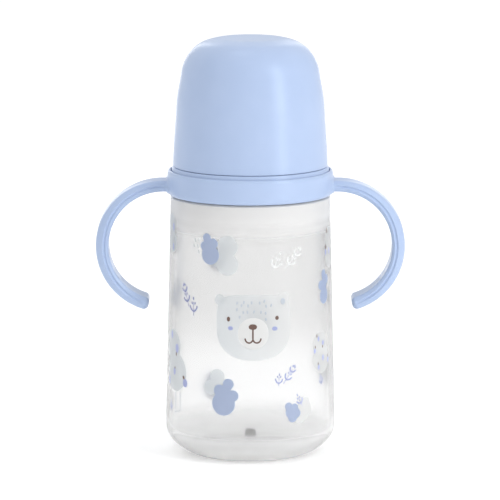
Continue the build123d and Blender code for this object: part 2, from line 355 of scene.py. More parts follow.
def makeInk(name, colour, other, size=7, roughness=(0.38, 0.5), acrossX=0.0, cover=1.0, glow=0.0):
    # printed ink: two close shades in soft patches, or fading from one to the other over acrossX mm either
    # side of the middle, from the first at -x to the other at +x, which is painted shade; a touch matter than
    # the wall; cover is how much of the wall one face of it hides, and glow the share of the light from
    # behind that comes through it
    material, tree, shader = newMaterial(name)
    noise = mottled(tree, shader, "Base Color", srgb(*colour), srgb(*other), size)
    # a fade across x is painted shade: the first colour on the -x side away from the key lamp, the other on
    # the +x side
    if acrossX:
        blend = noise.outputs["Fac"].links[0].to_node
        split = tree.nodes.new("ShaderNodeSeparateXYZ")
        span = tree.nodes.new("ShaderNodeMapRange")
        setSockets(span, {"From Min": -acrossX * mm, "From Max": acrossX * mm})
        tree.links.new(objectPlace(tree), split.inputs["Vector"])
        tree.links.new(split.outputs["X"], span.inputs["Value"])
        tree.links.new(span.outputs["Result"], blend.inputs["Factor"])
    mottled(tree, shader, "Roughness", *roughness, 1.5)
    setSockets(shader, {"Alpha": cover, "Transmission Weight": glow})
    mouldGrain(tree, shader, 0.5, 0.006, 0.3)
    return material


blueMaterial = makeBluePlastic()
bodyMaterial = makeMilkyBody()
siliconeMaterial = makeSilicone()
print("materials ready")


bottle = {
    "topRadius": 31.0,        # at the top of the straight wall
    "wall": 1.8,
    "shoulder": 101.1,
    "shoulderCorner": 1.3,
    "wallTop": 99.1,
    "wallSoftening": 2.5,
    "neckRadius": 26.5,
    "neckBore": 24.7,
    "neckFillet": 1.0,
    "rimEdge": 0.5,
    "cornerHeight": 11.6,
    "footRadius": 23.0,
    "footWidth": 1.6,
    "pushUp": 3.0,
    "floor": 2.2,
    # the gate mark on the inner floor
    "nib": ((2.7, 0.0), (2.25, 0.3), (2.05, 2.5), (1.5, 3.15), (0.8, 3.3), (0.0, 3.35)),
    "throat": ((24.7, 99.9), (27.6, 98.4), (29.2, 96.3)),  # inside, from the neck's bore out to the wall
    "throatEnd": 84.0,        # height where the inner wall is straight again
    "throatRounding": 5.0,
    "threadStart": 102.9,     # middle of the ridge's lower end
    "threadHeight": 1.5,
    "threadTurns": 1.25,
    "threadBase": 1.7,
    "threadTip": 1.0,
    "threadStep": 0.16,       # between rows of points on the neck
    "rowStep": 1.6,           # between rows elsewhere
    "baseStep": 1.2,          # and under the base
    "columns": 268,
}
threadLead = 4.0              # shared by the neck and the screw ring
threadFade = 20 / 360         # of a turn, over which each end of a thread dies away
bodyRadius = bottleHigh[0]
rim = bottleHigh[2]


def wallRadius(height):
    # straight taper from the widest point above the base corner to the shoulder, starting softly: the height
    # above the corner is taken as w ln(1 + e^(h/w)) - w ln 2
    soft, foot = bottle["wallSoftening"], bottle["cornerHeight"]
    rise = soft * (np.logaddexp(0, (height - foot) / soft) - math.log(2))
    return bodyRadius + (bottle["topRadius"] - bodyRadius) * rise / (bottle["wallTop"] - foot)


def cornerCurve(footRadius, wall, low, high, steps=26):
    # from the foot out to the wall: the radius grows by (1 - (1-s)^2.25)^(1/1.2) while the height grows by s
    s = np.linspace(0, 1, steps) ** 1.6
    radius = footRadius + (wall - footRadius) * (1 - (1 - s) ** 2.25) ** (1 / 1.2)
    return np.stack([radius, low + (high - low) * s], axis=1)


def ridge(angle, height, start, turns, offset, base, tip, lead=threadLead):
    # share of full height of a helical ridge: 1 inside half the tip's width of its middle line, falling
    # to 0 at half the base's width by 65% of a straight flank and 35% of an eased one, fading at each end
    share = np.zeros(np.broadcast(angle, height).shape)
    for turn in range(int(turns) + 3):
        along = angle / (2 * math.pi) + turn - 1 - offset
        middle = start + lead * along
        across = np.abs(height - middle)
        flank = np.clip((base / 2 - across) / ((base - tip) / 2), 0, 1)
        ends = smoothStep(0, threadFade, along) * smoothStep(0, threadFade, turns - along)
        share = np.maximum(share, flank * ends)
    return share * share * (3 - 2 * share) * 0.35 + share * 0.65


def makeBottle():
    # the closed outline runs from the middle of the base under the arch z = p (1 - (r/R)^2), up the corner
    # and the wall, over the shoulder and rim and down inside to the floor, and is turned round the axis; on
    # the neck the radius grows by the thread's height times ridge()
    b = bottle
    r = np.linspace(0, b["footRadius"] - b["footWidth"], 14)
    archUnder = b["pushUp"] * (1 - (r / r[-1]) ** 2)
    under = np.stack([r, archUnder], axis=1)
    foot = np.array([[r[-1], 0], [b["footRadius"], 0]])
    corner = cornerCurve(b["footRadius"], bodyRadius, 0, b["cornerHeight"])
    wallTop = b["shoulder"] - b["shoulderCorner"]
    upper = np.array([[b["topRadius"], wallTop], [b["topRadius"], b["shoulder"]],
                      [b["neckRadius"], b["shoulder"]], [b["neckRadius"], rim], [b["neckBore"], rim],
                      b["throat"][0]])
    cut = [0, b["shoulderCorner"], b["neckFillet"], b["rimEdge"], b["rimEdge"], 0.6]
    upper = cornersCut(upper, cut, steps=8)
    throatEnd = (wallRadius(b["throatEnd"]) - b["wall"], b["throatEnd"])
    throat = cornersCut(np.array([upper[-1], b["throat"][1], b["throat"][2], throatEnd]),
                        b["throatRounding"], steps=10)
    innerWall = np.array([[wallRadius(b["cornerHeight"]) - b["wall"], b["cornerHeight"]]])
    innerCorner = cornerCurve(r[-1], bodyRadius - b["wall"], b["floor"], b["cornerHeight"])
    floorAt = np.interp(0, r, archUnder) + b["floor"]
    innerFloor = np.stack([r[::-1], b["floor"] + archUnder[::-1]], axis=1)
    beside = innerFloor[innerFloor[:, 0] > b["nib"][0][0]]
    innerFloor = np.concatenate([beside, np.array(b["nib"]) + (0, floorAt)])
    outside = np.concatenate([under[:-1], foot, corner[1:]])
    inside = np.concatenate([throat[1:], innerWall, innerCorner[::-1][1:], innerFloor[1:]])
    # the first two rounded corners are the wall's top and the neck's foot; above them the rows lie close
    # enough to carry the thread
    neckRow = 2 * 8
    outline = np.concatenate([spread(outside, b["baseStep"]),
                              spread(np.concatenate([corner[-1:], upper[:neckRow]]), b["rowStep"])[1:],
                              spread(np.concatenate([upper[neckRow:], throat[:1]]), b["threadStep"])[1:],
                              spread(np.concatenate([throat[:1], inside]), b["rowStep"])[1:]])
    radius, angle, height = turned(outline, b["columns"])
    onNeck = (np.abs(radius - b["neckRadius"]) < 0.02) & (height > b["shoulder"] + 0.4)
    share = ridge(angle, height, b["threadStart"], b["threadTurns"], 0, b["threadBase"], b["threadTip"])
    radius = radius + np.where(onNeck, share * b["threadHeight"], 0)
    shell = closedGrid(placed(radius, angle, height), poles=True)
    makePiece("bottle_shell", [shell], bodyMaterial, "bottle", ["bottle"])


makeBottle()


teat = {
    "bore": 20.2,
    "flangeTop": 1.5,         # thickness of the flange under the ledge
    "grooveRadius": 22.4,
    "groove": 1.9,            # height of the groove
    "beadRadius": 23.4,
    "beadTop": 0.9,
    "domeFootRadius": 22.8,
    "domeFoot": 5.1,          # above the flange's underside
    "wall": 1.9,
    "feedHole": 0.4,
    "points": ((21.2, 120.8), (15.05, 128.0), (9.4, 132.3), (7.4, 138.9), (7.8, 146.2), (4.6, 151.2)),
    "facing": (10, 40, 30, 0, 0, 60),  # which way the surface faces at each, in degrees above level
    "rowStep": 0.9,
    "columns": 128,
}


def makeTeat():
    # flange, groove and bead as a cornered outline, then a smooth curve through the dome and nipple points,
    # and back down inside at the wall's thickness; the closed outline is turned round the axis
    t = teat
    low, high = teatLow[2], teatHigh[2]
    flangeRadius = teatHigh[0]
    grooveLow = low + t["flangeTop"]
    grooveHigh = grooveLow + t["groove"]
    foot = np.array([[t["bore"], low], [flangeRadius, low], [flangeRadius, grooveLow],
                     [t["grooveRadius"], grooveLow], [t["grooveRadius"], grooveHigh],
                     [t["beadRadius"], grooveHigh], [t["beadRadius"], grooveHigh + t["beadTop"]],
                     [t["domeFootRadius"], low + t["domeFoot"]]])
    foot = cornersCut(foot, [0, 0.5, 0.5, 0.25, 0.25, 0.35, 0.35, 0], steps=5)
    profile = np.array([foot[-1], *t["points"], (t["feedHole"], high)])
    dome = throughPoints(profile, (0, *t["facing"], 90), steps=12)
    inner = inward(dome, t["wall"])[::-1]
    inner = inner[inner[:, 0] > t["feedHole"] + 0.05]
    inner = np.concatenate([[(t["feedHole"], inner[0, 1])], inner])
    outline = np.concatenate([foot, dome[1:], inner, [(t["bore"], inner[-1, 1] - 0.6)]])
    radius, angle, height = turned(spread(outline, t["rowStep"]), t["columns"])
    shell = closedGrid(placed(radius, angle, height), poles=False)
    makePiece("teat_soft", [shell], siliconeMaterial, "teat", ["teat"])


makeTeat()


screwRing = {
    "bore": 28.3,             # root of the inner thread
    "outer": 30.0,
    "flangeHeight": 2.8,      # of the flange below the cap's seat
    "flangeEdge": 2.1,        # how far below the seat the flange's edge starts to lean in
    "flangeLean": 0.6,
    "ledgeRadius": 22.6,
    "ledge": 1.8,
    "spigotInner": 26.65,
    "spigotOuter": 28.45,
    "threadStart": 102.83,
    "threadOffset": 0.35,
    "threadTurns": 1.05,
    "threadHeight": 1.5,
    "threadBase": 1.7,
    "threadTip": 1.0,
    "threadStep": 0.16,
    "rowStep": 1.0,
    "columns": 320,
}
seat = capLow[2]              # height of the face that the cap stands on


def makeScrewRing():
    # a closed outline round skirt, flange, spigot and ledge, turned round the axis; in the bore the radius
    # shrinks by the thread's height times ridge()
    s = screwRing
    low, high = ringLow[2], ringHigh[2]
    flange, below, under = ringHigh[0], seat - s["flangeHeight"], seat - s["ledge"]
    outer = np.array([[s["bore"], low], [s["outer"], low], [s["outer"], below], [flange, below],
                      [flange, seat - s["flangeEdge"]], [flange - s["flangeLean"], seat],
                      [s["spigotOuter"], seat], [s["spigotOuter"], high], [s["spigotInner"], high],
                      [s["spigotInner"], seat], [s["ledgeRadius"], seat], [s["ledgeRadius"], under],
                      [s["bore"], under]])
    cut = [0.25, 0.3, 0.1, 0.1, 0.2, 0.35, 0.15, 0.5, 0.5, 0.3, 0.4, 0.4, 0.2]
    outline = cornersCut(outer, cut, closed=True, steps=5)
    bore = spread(outline[[-1, 0]], s["threadStep"])[1:-1]
    outline = np.concatenate([spread(outline, s["rowStep"]), bore])
    radius, angle, height = turned(outline, s["columns"])
    onBore = np.abs(radius - s["bore"]) < 0.02
    share = ridge(angle, height, s["threadStart"], s["threadTurns"], s["threadOffset"], s["threadBase"],
                  s["threadTip"])
    radius = radius - np.where(onBore, share * s["threadHeight"], 0)
    shell = closedGrid(placed(radius, angle, height), poles=False)
    makePiece("screw_ring_moulding", [shell], blueMaterial, "collar", ["screw_ring"])


makeScrewRing()


handleRing = {
    "bore": 30.15,
    "lipBore": 30.9,
    "bottom": 101.4,
    "bottomRadius": 31.65,
    "radius": 32.15,
    "bottomRounding": 2.0,
    "stepHeight": 109.7,      # of the step between the bore and the lip's bore
    "lipTop": 111.0,
    "lipRadius": 31.6,
    "lipStart": 109.4,        # the long curve outside the lip starts here
    "bossWidth": 17.0,
    "bossHeight": 6.6,
    "bossProud": 0.6,
    "bossPower": 2.8,         # 2 would be an ellipse
    "rowStep": 0.35,
    "columns": 360,
}
handle = {
    "rootHeight": 105.1,
    "rootStart": 31.2,
    "stemEnd": 34.1,
    "arcRadius": 23.7,
    "sweep": 166.5,           # degrees
    "widthAt": (0, 0.45, 1),  # shares of the length that the next two lists are for
    "outward": (2.05, 2.25, 2.25),  # from the middle line to the outer side
    "inner": (2.05, 2.7, 2.85),     # and to the inner side
    "depth": 13.0,
    "crown": 1.5,             # how far the middle of the front stands out past its edges
    "edge": 1.25,
    "innerCrown": 0.75,       # and past the inner edge
    "innerEdge": 0.4,
    "creaseWidth": 1.4,
    "creaseDepth": 0.55,
    "creaseAt": (0.03, 0.28, 0.5, 0.75, 1),
    "creasePlace": (-0.02, -0.06, -0.16, -0.12, -0.04),  # there, 0.5 is the outer edge and -0.5 the inner one
    "creaseEdge": 0.16,       # rounding of the crease's two edges
    "creaseBottom": 0.12,     # and of its bottom
    "tipRounding": 1.8,
    "flare": 0.45,            # how much the root widens into its boss
    "stations": 150,
}


def handlePath(h):
    # straight out along the stem, then round an arc x = x0 + R sin a, z = z0 - R (1 - cos a), with closer
    # stations at the tip; gives points, outward normals and length run
    stem = np.linspace(h["rootStart"], h["stemEnd"], 14, endpoint=False)
    turn = np.radians(np.linspace(0, h["sweep"], h["stations"]))
    end = np.radians(h["sweep"] - np.linspace(4.2, 0, 14))
    turn = np.unique(np.concatenate([turn, end]))
    x = np.concatenate([stem, h["stemEnd"] + h["arcRadius"] * np.sin(turn)])
    z = np.concatenate([np.full(len(stem), h["rootHeight"]),
                        h["rootHeight"] - h["arcRadius"] * (1 - np.cos(turn))])
    normal = np.concatenate([np.tile([0.0, 1.0], (len(stem), 1)),
                             np.stack([np.sin(turn), np.cos(turn)], axis=1)])
    run = np.concatenate([[0], np.cumsum(np.hypot(np.diff(x), np.diff(z)))])
    return np.stack([x, z], axis=1), normal, run


def handleSection(h, run):
    # at each station a closed outline of (outward, forward): flat outer and inner sides, and a front and back
    # that rise in two flat slopes to a shallow V crease; the sides close in by a quarter circle at the tip
    share = run / run[-1]
    outward = np.interp(share, h["widthAt"], h["outward"])
    inner = np.interp(share, h["widthAt"], h["inner"])
    depth = np.full(len(run), h["depth"] / 2)
    tip = h["tipRounding"]
    closing = tip * (1 - np.sqrt(1 - np.clip((run - (run[-1] - tip)) / tip, 0, 0.9999) ** 2))
    closing = closing - h["flare"] * (1 - smoothStep(0.4, 1.9, run)) ** 2
    outward, inner, depth = outward - closing, inner - closing, depth - closing
    half, middle = (outward + inner) / 2, (outward - inner) / 2
    place = middle + np.interp(share, h["creaseAt"], h["creasePlace"]) * 2 * half
    fade = smoothStep(0.02, 0.06, share) * (1 - smoothStep(0.93, 0.985, share))
    width = np.minimum(h["creaseWidth"], half * 0.6)
    shoulder = depth - h["crown"] * np.clip(half / 2.2, 0, 1)
    innerShoulder = depth - h["innerCrown"] * np.clip(half / 2.2, 0, 1)
    cut = depth - h["creaseDepth"] * fade
    zero = np.zeros(len(run))
    front = [(outward, shoulder), (place + width / 2, depth), (place, cut), (place - width / 2, depth),
             (-inner, innerShoulder)]
    back = [(a, -b) for a, b in front[::-1]]
    corners = [(outward, zero), *front, (-inner, zero), *back]
    section = np.stack([np.stack([a, -b], axis=1) for a, b in corners], axis=1)
    edge, innerEdge, soft, deep = h["edge"], h["innerEdge"], h["creaseEdge"], h["creaseBottom"]
    cuts = [0, edge, soft, deep, soft, innerEdge, 0, innerEdge, soft, deep, soft, edge]
    return cornersCut(section, cuts, closed=True, steps=6)


def makeHandle(side):
    # each section point is path + outward * normal in x and z, and forward in y; side 1 or -1 mirrors x,
    # and each end closes in its middle point
    path, normal, run = handlePath(handle)
    section = handleSection(handle, run)
    across = section[..., 0:1] * normal[:, None, :] + path[:, None, :]
    points = np.stack([side * across[..., 0], section[..., 1], across[..., 1]], axis=-1)
    first, last = points[:1].mean(axis=1, keepdims=True), points[-1:].mean(axis=1, keepdims=True)
    size = points.shape[1]
    points = np.concatenate([np.repeat(first, size, axis=1), points, np.repeat(last, size, axis=1)])
    return closedGrid(points, poles=True)


def makeHandleRing():
    # the sleeve's closed outline turned round the axis, with an oval boss raised at each side, and the two
    # handles as closed surfaces that start inside the bosses
    h = handleRing
    lip = throughPoints([(h["radius"], h["lipStart"]), (h["lipRadius"] + 0.42, h["lipTop"] - 0.75),
                         (h["lipRadius"] - 0.2, h["lipTop"])], (0, 18, 85), steps=12)
    step, power = h["stepHeight"], h["bossPower"]
    lower = np.array([[h["bore"], step], [h["bore"], h["bottom"]], [h["bottomRadius"] - 0.9, h["bottom"]]])
    lower = cornersCut(lower, [0, 0.3, 0], steps=5)
    turnUp = throughPoints([(h["bottomRadius"] - 0.9, h["bottom"]),
                            (h["bottomRadius"] + 0.1, h["bottom"] + 0.55),
                            (h["radius"], h["bottom"] + h["bottomRounding"] + 0.4)], (-90, -40, 0), steps=10)
    upper = cornersCut(np.array([[h["lipBore"] + 0.06, h["lipTop"]], [h["lipBore"], h["lipTop"]],
                                 [h["lipBore"], step], [h["bore"], step]]), [0, 0.1, 0.15, 0], steps=4)[:-1]
    outline = np.concatenate([lower, turnUp[1:], lip, upper])
    radius, angle, height = turned(spread(outline, h["rowStep"]), h["columns"])
    # the boss that carries each handle: full inside the oval |y/a|^n + |z/b|^n = 1 and easing to 0 outside
    sideways = np.abs(np.sin(angle)) * radius / (h["bossWidth"] / 2)
    upwards = np.abs(height - handle["rootHeight"]) / (h["bossHeight"] / 2)
    reach = (sideways**power + upwards**power) ** (1 / power)
    outerSide = radius > h["radius"] - 0.75
    boss = h["bossProud"] * (1 - smoothStep(0.86, 1.06, reach))
    radius = radius + np.where(outerSide, boss, 0)
    sleeve = closedGrid(placed(radius, angle, height), poles=False)
    surfaces = [sleeve, makeHandle(1), makeHandle(-1)]
    makePiece("handle_ring_moulding", surfaces, blueMaterial, "collar", ["handle_ring"])


makeHandleRing()


cap = {
    "wall": 1.4,
    "topRadius": 11.0,
    "edge": 0.25,
    "points": ((28.75, 135.4), (26.8, 148.6), (22.9, 157.3), (17.1, 161.15)),
    "facing": (2, 8, 41, 73),
    "rowStep": 1.1,
    "columns": 256,
}


def makeCap():
    # a smooth curve through the side's points up to the flat top, the same curve moved in by the wall, and a
    # rounded lower edge between them, turned round the axis
    low, high = capLow[2], capHigh[2]
    profile = [(capHigh[0], low), *cap["points"], (cap["topRadius"], high)]
    side = throughPoints(profile, (0, *cap["facing"], 90), steps=16)
    outer = np.concatenate([side, [(cap["topRadius"] / 2, high), (0, high)]])
    inner = inward(side, cap["wall"])
    inner = np.concatenate([inner, [(0, high - cap["wall"])]])
    edge = cornersCut(np.array([outer[1], outer[0], inner[0], inner[1]]),
                      [0, cap["edge"], cap["edge"], 0], steps=4)
    outline = np.concatenate([outer[::-1][:-2], edge, inner[2:]])
    radius, angle, height = turned(spread(outline, cap["rowStep"]), cap["columns"])
    shell = closedGrid(placed(radius, angle, height), poles=True)
    makePiece("cap_shell", [shell], blueMaterial, "cap", ["cap"])


makeCap()
print("mouldings ready")


# the printed decoration is thin closed patches of ink on the wall: u is millimetres round the wall from the
# middle of the front, and z is the height
ink = {
    "sunk": 0.06,             # how deep the underside of each patch sits in the wall
    "layer": 0.022,           # how far each layer of ink stands above the one below
    "rings": 12,
    "around": 96,
}


def onWall(u, z, lift):
    # the point at angle u / r - 90 degrees and height z, where r is the wall's radius there, "lift" above it
    angle = u / wallRadius(z) - math.pi / 2
    return placed(wallRadius(z) + lift, angle, z)


def patch(u, z, reach, layer=1, around=None, rings=None):
    # a star-shaped patch: every point is the centre plus a share of reach(angle), so the rim is
    # u + reach cos a, z + reach sin a; the upper face stands on its layer and the lower one is in the wall
    around, rings = around or ink["around"], rings or ink["rings"]
    angle = np.linspace(0, 2 * math.pi, around, endpoint=False)
    share = np.sqrt(np.linspace(0, 1, rings))
    share = np.concatenate([share, share[::-1]])[:, None]
    top = np.concatenate([np.ones(rings - 1), [0.3, -0.3], -np.ones(rings - 1)])[:, None]
    lift = np.where(top > 0, 0.01 + ink["layer"] * layer * top, ink["sunk"] * top)
    length = share * reach(angle)[None, :]
    grid = onWall(u + length * np.cos(angle), z + length * np.sin(angle), np.broadcast_to(lift, length.shape))
    return closedGrid(grid, poles=True)


def oval(width, height, tilt=0.0, power=2.0):
    # reach (|cos a / w|^n + |sin a / h|^n)^(-1/n) of an oval with half width w and half height h, turned by
    # tilt degrees
    turn = math.radians(tilt)

    def reach(angle):
        along, up = np.abs(np.cos(angle - turn) / width), np.abs(np.sin(angle - turn) / height)
        return (along**power + up**power) ** (-1 / power)
    return reach


def lobes(circles):
    # outline of a union of circles (u, z, radius): along each ray the furthest point of any circle it meets
    def reach(angle):
        far = np.zeros(len(angle))
        for u, z, radius in circles:
            along = u * np.cos(angle) + z * np.sin(angle)
            inside = radius**2 - (u * u + z * z) + along**2
            far = np.maximum(far, np.where(inside > 0, along + np.sqrt(np.maximum(inside, 0)), 0))
        return far
    return reach


def ribbon(points, width, layer=1, steps=18):
    # a stroke of ink along a curve: a line of two points, a quadratic of three or the curve as it is, its
    # half width w sqrt(1 - e^2), where e runs 0 to 1 over the last half width at each end
    points = np.asarray(points, float)
    t = np.linspace(0, 1, steps)
    if len(points) == 2:
        line = points[:1] * (1 - t[:, None]) + points[1:] * t[:, None]
    elif len(points) > 3:
        line = points
    else:
        a, b, c = points
        line = (1 - t[:, None]) ** 2 * a + 2 * t[:, None] * (1 - t[:, None]) * b + t[:, None] ** 2 * c
    run = np.concatenate([[0], np.cumsum(np.linalg.norm(np.diff(line, axis=0), axis=1))])
    fine = run[-1] * (1 - np.cos(np.linspace(0, math.pi, steps * 2))) / 2
    line = np.stack([np.interp(fine, run, line[:, k]) for k in range(2)], axis=1)
    way = np.gradient(line, axis=0)
    way = way / (np.linalg.norm(way, axis=1, keepdims=True) + 1e-9)
    side = np.stack([-way[:, 1], way[:, 0]], axis=1)
    toEnd = np.minimum(fine, run[-1] - fine)
    half = width / 2 * np.sqrt(np.maximum(1 - np.clip(1 - toEnd / (width / 2), 0, 1) ** 2, 1e-6))
    across = np.array([-1, -0.8, 0, 0.8, 1, 0.8, 0, -0.8])
    up = np.array([0, 1, 1, 1, 0, -1, -1, -1])
    lift = np.where(up >= 0, 0.01 + ink["layer"] * layer * up, ink["sunk"] * up)
    place = line[:, None, :] + (side * half[:, None])[:, None, :] * across[None, :, None]
    grid = onWall(place[..., 0], place[..., 1], np.broadcast_to(lift, place.shape[:-1]))
    return closedGrid(grid, poles=True)


def hook(u, z, halfWidth, depth, steps=26):
    # the lower half of an oval: u - w cos a, z - d sin a, from level to just past the far side
    angle = np.linspace(-0.05, math.pi - 0.12, steps)
    return np.stack([u - halfWidth * np.cos(angle), z - depth * np.sin(angle)], axis=1)


def cloud(u, z, circles, layer=1):
    # one patch with the outline of a union of circles
    return [patch(u, z, lobes(circles), layer, around=220)]


def sprig(base, tip, leaf=1.5, clusters=2, width=0.5, layer=1):
    # a thin stem carrying V-shaped clusters, each a small cup of two curved leaves with two loose buds above
    # it, and one bud at the end; leaf is how long the lowest leaves are, and the upper ones are shorter
    base, tip = np.array(base, float), np.array(tip, float)
    way = tip - base
    along = way / np.linalg.norm(way)
    aside = np.array([-along[1], along[0]])
    lean = math.degrees(math.atan2(way[1], way[0]))
    made = [ribbon([base, base + 0.8 * way], width * 0.45, layer)]
    for number in range(clusters):
        foot = base + way * (0.26 + 0.42 * number / max(clusters - 1, 1))
        size = leaf * (1 - 0.25 * number / clusters)
        for side in (-1, 1):
            curve = [foot, foot + 0.15 * size * along + 0.62 * size * side * aside,
                     foot + 0.9 * size * along + 0.72 * size * side * aside]
            made.append(ribbon(curve, width, layer, steps=10))
            bud = foot + 1.25 * size * along + 0.3 * size * side * aside
            budShape = oval(size * 0.24, width * 0.46, lean + side * 15)
            made.append(patch(*bud, budShape, layer, around=20, rings=4))
    made.append(patch(*tip, oval(leaf * 0.3, width * 0.46, lean), layer, around=20, rings=4))
    return made


def fleck(u, z, width, height, tilt=0.0, layer=1):
    # a small oval patch
    return patch(u, z, oval(width, height, tilt), layer, around=28, rings=6)


head = {"u": 1.35, "z": 54.1, "halfWidth": 14.65, "halfHeight": 12.7, "squareTop": 4.6, "roundBottom": 2.35}
muzzle = {"u": 1.1, "z": 51.9, "halfWidth": 5.95, "halfHeight": 6.15}


def headReach(angle):
    # a rounded box |x/a|^n + |z/b|^n = 1 whose power n grows from the chin to the top of the head
    towardsTop = smoothStep(-0.3, 0.6, np.sin(angle))
    power = head["roundBottom"] + (head["squareTop"] - head["roundBottom"]) * towardsTop
    sideways, upwards = np.abs(np.cos(angle) / head["halfWidth"]), np.abs(np.sin(angle) / head["halfHeight"])
    return (sideways**power + upwards**power) ** (-1 / power)


# middles (u, z) of the short strokes on the forehead
foreheadFlecks = ((-5.1, 63.7), (-2.5, 64.0), (0.5, 63.9), (3.6, 63.8), (5.4, 64.5), (-3.4, 62.8),
                  (-0.9, 62.7), (6.1, 62.5), (8.1, 62.8), (-5.2, 61.2), (-2.7, 60.1), (-1.1, 60.2),
                  (1.4, 60.4), (4.1, 60.2), (5.9, 59.8), (6.0, 57.4), (-4.1, 58.3))

paleInk, whiteInk, brightInk, creamInk, blueInk = ([] for _ in range(5))
violetInk, deepInk, greyInk, brownInk = ([] for _ in range(4))

# bear's face
paleInk.append(patch(head["u"], head["z"], headReach, around=240, rings=26))
paleInk += [fleck(-12.0, 64.7, 2.1, 2.1), fleck(12.8, 65.0, 2.75, 2.65)]
greyInk.append(fleck(12.8, 64.1, 0.95, 1.25, layer=3))
greyInk += [fleck(u, z, 0.36, 0.66, -18 + 9 * (number % 4), layer=3)
            for number, (u, z) in enumerate(foreheadFlecks)]
creamInk.append(patch(muzzle["u"], muzzle["z"], oval(muzzle["halfWidth"], muzzle["halfHeight"], power=2.1), 2,
                      around=120, rings=16))
brownInk += [fleck(-8.5, 57.4, 0.66, 0.95, layer=4), fleck(10.4, 57.8, 0.72, 0.82, layer=4)]
violetInk += [fleck(-7.7, 53.9, 1.02, 0.8, layer=3), fleck(9.5, 53.7, 1.12, 0.82, layer=3)]
brownInk.append(patch(0.95, 54.5, oval(1.6, 1.08, power=2.3), 4, around=60))
brownInk += [ribbon([(0.97, 54.2), (0.97, 49.7)], 0.7, 4), ribbon(hook(-0.5, 50.05, 1.5, 1.75), 0.64, 5),
             ribbon(hook(2.5, 50.05, -1.55, 1.75), 0.64, 6)]

# clouds, as circles (u, z, radius) about their own middle
tallCloud = ((-0.1, 5.0, 1.7), (2.1, 2.7, 2.0), (-2.2, 0.9, 1.9), (0.2, -3.4, 3.2), (0, 0.5, 2.6))
wideCloud = ((1.75, 5.4, 2.2), (-1.7, 2.8, 2.45), (3.6, 1.0, 2.2), (-0.2, -2.2, 4.65))
smallCloud = ((-1.7, 2.2, 1.6), (0.9, 1.5, 1.7), (1.8, -0.7, 1.9), (-0.4, 0, 2.6), (0.1, -2.0, 2.1))
shadowCloud = ((0.9, 2.3, 3.0), (-1.9, -2.0, 2.9), (0.8, -1.0, 3.0))
whiteCloud = ((0.4, 0.6, 3.7), (-1.4, -2.0, 2.8), (0.7, 2.9, 2.5))
blueInk += cloud(-16.1, 84.0, ((-1.5, 4.2, 1.8), (1.3, 2.2, 2.0), (-2.5, 1.0, 1.9), (0.0, -2.2, 3.8)), 2)
paleInk += cloud(-9.3, 82.0, ((0.4, 3.4, 4.1), (0.3, -3.5, 4.3), (-2.6, -1.6, 3.5)))
blueInk += cloud(35.0, 67.2, tallCloud, 2)
blueInk += cloud(-10.4, 26.6, wideCloud, 2)
paleInk += cloud(-14.0, 32.4, shadowCloud)
blueInk += cloud(17.0, 20.7, smallCloud, 2)
whiteInk += cloud(22.0, 20.6, whiteCloud)

# dotted pears at both sides
pear = ((-1.2, 5.6, 6.2), (1.2, -4.4, 7.6))
paleInk += cloud(-37.0, 38.4, pear)
paleInk += cloud(-40.6, 87.6, ((-0.4, 3.0, 4.3), (0.6, -3.4, 4.4)))
whiteInk += cloud(32.7, 42.0, ((-0.7, 3.3, 4.7), (0.4, -2.4, 5.7)))
whiteInk += cloud(41.3, 82.2, ((-0.4, 3.6, 4.2), (0.3, -3.6, 4.8)))
# spots as (u, z, half width, half height)
pearSpots = ((-39.3, 47.9, 0.95, 1.6), (-34.6, 43.2, 1.25, 1.85), (-36.6, 34.0, 0.95, 1.5),
             (-28.9, 30.4, 1.4, 1.65), (-41.8, 29.9, 0.85, 1.8), (-38.8, 90.0, 0.8, 1.6),
             (-38.9, 82.2, 0.75, 1.5), (30.8, 47.5, 0.65, 1.05), (34.0, 45.6, 0.75, 1.0),
             (28.4, 43.0, 0.65, 1.0), (34.0, 39.7, 0.75, 1.25), (38.3, 38.4, 0.8, 1.1),
             (30.9, 36.4, 0.65, 1.1), (37.1, 80.4, 0.7, 1.2), (41.1, 80.4, 0.7, 1.4))
pearStalks = ((-35.2, 40.9, 0.34, 0.85), (-29.8, 32.5, 0.55, 0.8, 30), (-36.2, 35.4, 0.3, 0.55),
              (29.7, 48.7, 0.26, 0.7), (33.7, 44.1, 0.26, 0.6), (28.7, 44.5, 0.26, 0.62),
              (38.0, 39.9, 0.26, 0.6), (30.5, 37.8, 0.26, 0.62), (38.4, 88.5, 0.4, 1.1),
              (37.1, 82.2, 0.3, 0.85))
violetInk += [fleck(*spot, layer=2) for spot in pearSpots]
brownInk += [fleck(*stalk, layer=3) for stalk in pearStalks]
greyInk += [ribbon([(-32.2, 26.6), (-31.9, 19.2)], 0.3), ribbon([(-31.9, 19.2), (-36.6, 17.9)], 0.3),
            ribbon([(-35.6, 26.2), (-36.0, 18.0)], 0.3)]
paleInk += [fleck(u, z, 0.42, 0.8, 12)
            for u, z in ((-23.2, 86.9), (-21.4, 87.1), (-23.8, 84.8), (-21.9, 84.7), (-21.4, 82.5))]

# sprigs
deepInk += sprig((-24.0, 57.4), (-24.1, 64.1), 2.5, 1, 0.6) + sprig((-26.6, 60.4), (-29.7, 69.0), 2.3, 2, 0.6)
brightInk += sprig((8.4, 75.7), (11.6, 82.6), 2.8, 1, 0.55) + sprig((13.4, 76.4), (20.6, 84.0), 2.7, 2, 0.55)
violetInk += sprig((11.0, 31.1), (11.4, 35.6), 2.0, 1, 0.55) + sprig((13.0, 31.9), (17.9, 38.5), 2.1, 2, 0.6)
violetInk += sprig((21.5, 22.6), (19.2, 27.0), 1.9, 1, 0.55, 2)
violetInk += sprig((33.1, 29.1), (31.9, 33.1), 1.7, 1, 0.5) + sprig((-39.4, 18.0), (-39.8, 21.9), 1.6, 1, 0.5)

